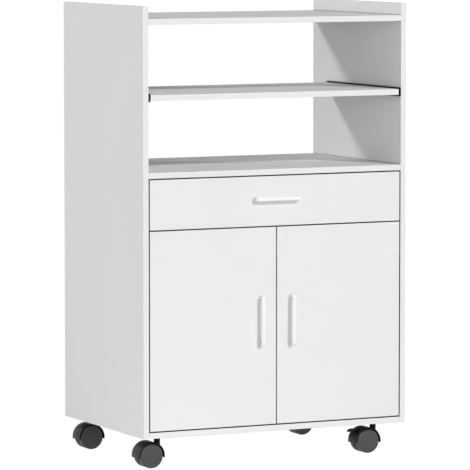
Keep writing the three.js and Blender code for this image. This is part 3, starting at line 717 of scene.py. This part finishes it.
def hinge_screws():
    """Screws of the concealed hinges: in the cup, the mounting plate and the arm."""
    cup_head = screw_head(*CUP_SCREW)
    mount_head = screw_head(*MOUNT_SCREW)
    arm_head = screw_head(*ARM_SCREW)
    for word, inwards in INWARDS.items():
        in_door, in_wall = [], []
        for level in ("lower", "upper"):
            cup = f"hinge_cup_{word}_{level}"
            mount = f"hinge_mount_{word}_{level}"
            middle = middle_of(cup)
            cup_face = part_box(cup)[1].y
            plate_face = side_of(mount, -inwards) + inwards.x * MOUNT_PLATE * MM
            arm_face = side_of(mount, inwards) + inwards.x * ARM_STEEL * MM
            for side in (-1, 1):
                spot = (middle.x, cup_face, middle.z + side * CUP_SCREW_SPREAD * MM)
                in_door.append((cup_head, facing(spot, BACKWARDS)))
                height = middle.z + side * MOUNT_SCREW_SPREAD * MM
                spot = (plate_face, behind_doors(MOUNT_SCREW_DEPTH), height)
                in_wall.append((mount_head, facing(spot, inwards)))
            for depth in ARM_SCREW_DEPTHS:
                spot = (arm_face, behind_doors(depth), middle.z)
                in_wall.append((arm_head, facing(spot, inwards)))
        piece(f"hinge_cup_screws_{word}", "zinc_steel", f"{word}_door", in_door)
        piece(f"hinge_mount_screws_{word}", "zinc_steel", "cabinet", in_wall)


def runner_screws():
    """Screws of the runners: through the cabinet's into the wall, and up into the drawer side."""
    head = screw_head(*RUNNER_SCREW)
    for word, inwards in INWARDS.items():
        runner = f"cabinet_runner_{word}"
        web = side_of(runner, -inwards) + inwards.x * RUNNER_STEEL * MM
        height = middle_of(runner).z
        spots = [(web, behind_doors(depth), height) for depth in CABINET_RUNNER_SCREW_DEPTHS]
        heads = [(head, facing(spot, inwards)) for spot in spots]
        piece(f"cabinet_runner_screws_{word}", "zinc_steel", "cabinet", heads)
        across = middle_of(f"drawer_side_{word}").x
        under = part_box(f"drawer_runner_{word}")[0].z
        spots = [(across, behind_doors(depth), under) for depth in DRAWER_RUNNER_SCREW_DEPTHS]
        heads = [(head, facing(spot, DOWN)) for spot in spots]
        piece(f"drawer_runner_screws_{word}", "zinc_steel", "drawer", heads)


def cam_locks():
    """Cam discs under the fixed boards, near their ends."""
    disc = screw_head(*CAM_DISC)
    placed = []
    for node, depths in CAM_DEPTHS.items():
        low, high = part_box(node)
        for end in (low.x + CAM_INSET * MM, high.x - CAM_INSET * MM):
            placed += [(disc, facing((end, behind_doors(depth), low.z), DOWN)) for depth in depths]
    piece("cam_locks", "zinc_steel", "cabinet", placed)


# ---- Rollers of the drawer runners ----

def roller(side, end):
    """A nylon roller, drawn along Y and turned to run along X."""
    node = f"runner_roller_{side}_{end}"
    low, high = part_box(node)
    half = (high.x - low.x) / 2 / MM
    radius = (high.z - low.z) / 2 / MM
    face = [
        (ROLLER_BORE, half),
        (ROLLER_HUB, half),
        (ROLLER_HUB + ROLLER_FLANK, half - ROLLER_GROOVE),
        (ROLLER_TREAD - ROLLER_FLANK, half - ROLLER_GROOVE),
        (ROLLER_TREAD, half),
        (radius - ROLLER_EDGE, half),
        (radius, half - ROLLER_EDGE),
    ]
    wheel = turned([(r, -y) for r, y in face] + face[::-1], steps=48)
    placed = set_down((low + high) / 2) @ Matrix.Rotation(math.radians(90), 4, "Z")
    piece(node + "_wheel", "roller_nylon", f"roller_{side}_{end}", [(wheel, placed)], [node])


# ---- Casters ----
# Drawn in millimetres round the middle of the axle. The wheels trail to -X.

def wheel_body(side):
    """One wheel, with a domed face and a hollow back. Side says which way its face looks."""
    rim = WHEEL_RADIUS - WHEEL_EDGE
    radii = [rim * step / DOME_STEPS for step in range(DOME_STEPS)]
    face = [(r, WHEEL_OUTER - WHEEL_DOME * (r / rim) ** 2) for r in radii]
    corner = arc((rim, WHEEL_OUTER - WHEEL_DOME - WHEEL_EDGE), WHEEL_EDGE, 90, 0, steps=5)
    inside = WHEEL_RADIUS - WHEEL_WALL
    bore = AXLE_RADIUS + AXLE_PLAY
    bore_end = WHEEL_OUTER - WHEEL_WALL
    well = bore_end - WHEEL_WALL
    back = [
        (WHEEL_RADIUS, WHEEL_INNER + WHEEL_BACK_EDGE),
        (WHEEL_RADIUS - WHEEL_BACK_EDGE, WHEEL_INNER),
        (inside, WHEEL_INNER),
        (inside - WHEEL_DRAFT, well),
        (HUB_RADIUS + HUB_DRAFT, well),
        (HUB_RADIUS, WHEEL_INNER),
        (bore, WHEEL_INNER),
        (bore, bore_end),
        (0, bore_end),
    ]
    return turned([(r, side * y) for r, y in face + corner + back], steps=96)


def skirt_angle(radius):
    """How far round below the axle's level a curve of some radius goes on, in radians."""
    return math.asin(HOOD_SKIRT / radius)


def hood_body():
    """The hood over both wheels: a thin shell with rounded edges."""
    section = rounded_rectangle(HOOD_WALL / 2, HOOD_HALF, HOOD_EDGE)
    profile = [(HOOD_MIDDLE + u, v) for u, v in section]
    dip = skirt_angle(HOOD_RADIUS)
    return turned(profile, steps=80, start=-dip, sweep=math.pi + 2 * dip)


def web_body():
    """The web between the wheels, whose edge lies in the wall of the hood."""
    dip = math.degrees(skirt_angle(HOOD_MIDDLE))
    return slab(arc((0, 0), HOOD_MIDDLE, -dip, 180 + dip, steps=64), -WEB_HALF, WEB_HALF)


def axle_body():
    """The axle, and the hub of the web that it comes out of."""
    end = WHEEL_OUTER - WHEEL_WALL - AXLE_PLAY
    half = [(0, end), (AXLE_RADIUS, end), (AXLE_RADIUS, WEB_HALF), (HUB_RADIUS, WEB_HALF)]
    return turned(half + [(r, -y) for r, y in reversed(half)], steps=32)


def neck_body(trail):
    """The swivel neck, as far from the axle as the caster trails. Its foot follows the hood."""
    waist = NECK_RADIUS - NECK_GROOVE_DEPTH
    groove_low, groove_high = NECK_GROOVE
    levels = [
        (NECK_RADIUS, groove_low - NECK_GROOVE_FLANK),
        (waist, groove_low),
        (waist, groove_high),
        (NECK_RADIUS, groove_high + NECK_GROOVE_FLANK),
        (NECK_RADIUS, NECK_TOP - NECK_EDGE),
        (waist, NECK_TOP),
    ]
    around = circle((0, 0), 1, steps=48)
    foot = []
    for x, y in around:
        across = trail + NECK_RADIUS * x
        height = math.sqrt(max(HOOD_MIDDLE ** 2 - across ** 2, 0))
        foot.append((across, NECK_RADIUS * y, max(NECK_FOOT, height)))
    rings = [[(trail + r * x, r * y, z) for x, y in around] for r, z in levels]
    return loft([foot] + rings)


def pressed(body, degrees):
    """A body turned about the brake's pin, down by some degrees."""
    pin = Vector((BRAKE_PIN.x, 0, BRAKE_PIN.y))
    turn = Matrix.Rotation(math.radians(-degrees), 4, "Y")
    body.transform(Matrix.Translation(pin) @ turn @ Matrix.Translation(-pin))
    return body


def blade(outline, play):
    """A flat piece as thick as the brake's blade and the play beside it."""
    return slab(outline, WEB_HALF - BRAKE_BLADE - play, WEB_HALF + play)


def brake_arm(play, degrees=0):
    """The arm of the brake from its pin to the tongue, pressed down by some degrees."""
    along = (BRAKE_ARM_END - BRAKE_PIN).normalized()
    across = Vector((-along.y, along.x)) * (BRAKE_ARM_HALF + play)
    end = BRAKE_ARM_END + along * play
    corners = [BRAKE_PIN - across, end - across, end + across, BRAKE_PIN + across]
    return pressed(blade([(corner.x, corner.y) for corner in corners], play), degrees)


def brake_eye(play):
    """The round end of the arm, on its pin."""
    return blade(circle(BRAKE_PIN, BRAKE_EYE_RADIUS + play, steps=24), play)


def brake_pin():
    return slab(circle(BRAKE_PIN, BRAKE_PIN_RADIUS, steps=12), -WEB_HALF, WEB_HALF)


def droop(start, pull, tip, share):
    """A point of a curve that leaves its start level, as x and z, and bends down to its tip."""
    rest = 1 - share
    weights = (rest * rest, 2 * rest * share, share * share)
    return tuple(sum(w * p[axis] for w, p in zip(weights, (start, pull, tip))) for axis in (0, 1))


def tongue_line(level, tip_level, steps):
    """The top or the underside of the tongue, from its bend to its tip."""
    start, pull, tip = (-TONGUE_BEND, level), (-TONGUE_PULL, level), (-TONGUE_TIP, tip_level)
    return [droop(start, pull, tip, step / steps) for step in range(steps + 1)]


def tongue_slot(degrees):
    """What the tongue takes up with its play, when it is pressed down by some degrees."""
    over = [(x, z + BRAKE_PLAY) for x, z in tongue_line(TONGUE_OVER, TONGUE_TIP_OVER, steps=10)]
    under = [(x, z - BRAKE_PLAY) for x, z in tongue_line(TONGUE_UNDER, TONGUE_TIP_UNDER, steps=10)]
    root = [
        (BRAKE_PLAY - TONGUE_START, TONGUE_UNDER - BRAKE_PLAY),
        (BRAKE_PLAY - TONGUE_EXIT, TONGUE_OVER + BRAKE_PLAY),
    ]
    half = TONGUE_HALF + BRAKE_PLAY
    return pressed(slab(root + over + under[::-1], -half, half), degrees)


def tongue_body():
    """The tongue of the brake: it droops, and rounds off towards its tip."""
    over = [(-TONGUE_EXIT, TONGUE_OVER), (-TONGUE_START, TONGUE_OVER)]
    over += tongue_line(TONGUE_OVER, TONGUE_TIP_OVER, steps=20)
    under = [(-TONGUE_EXIT, TONGUE_OVER - TONGUE_ROOT_THICKNESS), (-TONGUE_START, TONGUE_UNDER)]
    under += tongue_line(TONGUE_UNDER, TONGUE_TIP_UNDER, steps=20)
    rings = []
    for (x, high), (_, low) in zip(over, under):
        thickness = high - low
        near_tip = max(0, TONGUE_ROUNDING - (TONGUE_TIP + x)) / TONGUE_ROUNDING
        bulge = math.sqrt(1 - (1 - TONGUE_BLUNTNESS) * near_tip ** 2)
        half = TONGUE_HALF - TONGUE_ROUNDING * (1 - bulge)
        edge = min(TONGUE_EDGE, thickness * TONGUE_EDGE_SHARE)
        section = rounded_rectangle(half, thickness / 2, edge)
        rings.append([(x, u, (high + low) / 2 + v) for u, v in section])
    return loft(rings)


def brake_room():
    """What the lever sweeps between rest and pressed, with its play, as bodies to cut away."""
    arms = [brake_arm(BRAKE_PLAY), brake_arm(BRAKE_PLAY, BRAKE_TRAVEL)]
    slots = [tongue_slot(degrees) for degrees in (0, BRAKE_TRAVEL / 2, BRAKE_TRAVEL)]
    return arms + [brake_eye(BRAKE_PLAY)] + slots


def brake_lever(word, middle):
    """The arm, eye and tongue, moulded in one."""
    body = f"brake_lever_{word}"
    lever = [(each, middle) for each in (brake_arm(play=0), brake_eye(play=0), tongue_body())]
    piece(f"brake_tongue_{word}", "caster_hood", body, lever, [body])


def caster_fork(body, middle, trail, braked):
    """The hood, web, axle and neck, moulded in one. A brake has its room and pin in it."""
    hood, web = hood_body(), web_body()
    pins = []
    if braked:
        for room in brake_room():
            hood, web = carved(hood, room), carved(web, room)
        pins = [brake_pin()]
    fork = [(each, middle) for each in [hood, web, axle_body(), neck_body(trail)] + pins]
    piece(f"{body}_hood", "caster_hood", body, fork, [f"{body}_fork"])


def caster_wheels(body, middle):
    for end, side in (("front", -1), ("back", 1)):
        wheel = f"{body}_wheel_{end}"
        piece(f"{wheel}_tyre", "caster_wheel", wheel, [(wheel_body(side), middle)], [wheel])


def plate_screws(body, swivel):
    """Four screws round the swivel, up through the plate into the bottom panel."""
    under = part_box(f"{body}_plate")[1].z - CASTER_PLATE * MM
    spread = CASTER_SCREW_SPREAD * MM
    head = screw_head(*CASTER_SCREW)
    spots = [(swivel.x + i * spread, swivel.y + j * spread, under) for i in (-1, 1) for j in (-1, 1)]
    piece(f"{body}_plate_screws", "zinc_steel", "cabinet", [(head, facing(spot, DOWN)) for spot in spots])


def caster(word, braked):
    body = f"caster_{word}"
    swivel = Vector(joints[f"{body}_swivel"]["pos_m"])
    axle = Vector(joints[f"{body}_wheel_front_roll"]["pos_m"])
    middle = set_down((axle.x, swivel.y, axle.z))
    if braked:
        brake_lever(word, middle)
    caster_fork(body, middle, (swivel.x - axle.x) / MM, braked)
    caster_wheels(body, middle)
    plate_screws(body, swivel)


# ---- Floor, room, lamps and camera ----

def white_rays(tree):
    """1 for what the camera sees, straight or in a gloss or through glass, and 0 for light."""
    names = ("Is Camera Ray", "Is Glossy Ray", "Is Transmission Ray")
    camera, glossy, transmission = (tree.node("ShaderNodeLightPath", output=name) for name in names)
    return camera + glossy + transmission


def matt(tree, tone):
    """A matt grey surface."""
    return tree.node("ShaderNodeBsdfDiffuse", {}, {"Color": (tone, tone, tone, 1)})


def lay_floor():
    """A white floor that keeps a faint shadow, and reflects light like pale lino."""
    mesh = bpy.data.meshes.new("floor")
    half = FLOOR_SIZE / 2
    corners = [(-half, -half, 0), (half, -half, 0), (half, half, 0), (-half, half, 0)]
    mesh.from_pydata(corners, [], [(0, 1, 2, 3)])
    material = bpy.data.materials.new("floor")
    material.use_nodes = True
    tree = NodeTree(material.node_tree)
    glow = tree.node("ShaderNodeEmission", {}, {"Strength": FLOOR_GLOW})
    seen = tree.node("ShaderNodeAddShader", {}, {0: matt(tree, FLOOR_SHADOW), 1: glow})
    pale = matt(tree, FLOOR_TONE)
    both = tree.node("ShaderNodeMixShader", {}, {0: white_rays(tree), 1: pale, 2: seen})
    tree.node("ShaderNodeOutputMaterial", {}, {"Surface": both})
    mesh.materials.append(material)
    add("floor", mesh)


def light_room():
    """A pale room round the cart, which the camera sees as white."""
    world = bpy.data.worlds.new("room")
    bpy.context.scene.world = world
    world.use_nodes = True
    tree = NodeTree(world.node_tree)
    way = tree.node("ShaderNodeTexCoord", output="Generated")
    right, back, up = (tree.node("ShaderNodeSeparateXYZ", {}, {0: way}, axis) for axis in "XYZ")
    low = (ROOM_LOW + ROOM_FRONT * tree.ramp(0 - back, 0.0, 1.0)) * (1 - tree.ramp(up, *ROOM_FALL))
    room = ROOM_HIGH + ROOM_LEFT * tree.ramp(0 - right, 0.0, 1.0) + low
    light = tree.node("ShaderNodeBackground", {}, {"Strength": room})
    white = tree.node("ShaderNodeBackground", {}, {"Strength": 1.0})
    both = tree.node("ShaderNodeMixShader", {}, {0: white_rays(tree), 1: light, 2: white})
    tree.node("ShaderNodeOutputWorld", {}, {"Surface": both})


def towards(azimuth, elevation):
    """The direction of a place seen from the cart: degrees round from its front, degrees up."""
    a, e = math.radians(azimuth), math.radians(elevation)
    return Vector((math.sin(a) * math.cos(e), -math.cos(a) * math.cos(e), math.sin(e)))


def hang_sun(name, azimuth, elevation, strength, width):
    sun = bpy.data.lights.new(name, "SUN")
    sun.energy = strength
    sun.angle = math.radians(width)
    lamp = add(name, sun)
    lamp.rotation_euler = towards(azimuth, elevation).to_track_quat("Z", "Y").to_euler()


def stand_camera():
    lens = bpy.data.cameras.new("camera")
    lens.lens = CAMERA_LENS
    lens.sensor_width = SENSOR_WIDTH
    lens.clip_end = CAMERA_SIGHT
    camera = add("camera", lens)
    camera.location = CAMERA_TARGET + CAMERA_DISTANCE * towards(CAMERA_AZIMUTH, CAMERA_ELEVATION)
    camera.rotation_euler = (math.radians(90 - CAMERA_ELEVATION), 0, math.radians(CAMERA_AZIMUTH))
    bpy.context.scene.camera = camera


# ---- The whole cart ----

stand_camera()
lay_floor()
light_room()
for name, numbers in SUNS.items():
    hang_sun(name, *numbers)
bpy.context.scene.view_settings.view_transform = "Standard"

dress_solids()
handle("drawer_handle", "drawer", upright=False)
handle("left_door_handle", "left_door", upright=True)
handle("right_door_handle", "right_door", upright=True)
hinge_screws()
runner_screws()
cam_locks()
for side in ("left", "right"):
    for end in ("front", "back"):
        roller(side, end)
for end in ("front", "back"):
    caster(f"{end}_left", braked=False)
    caster(f"{end}_right", braked=True)
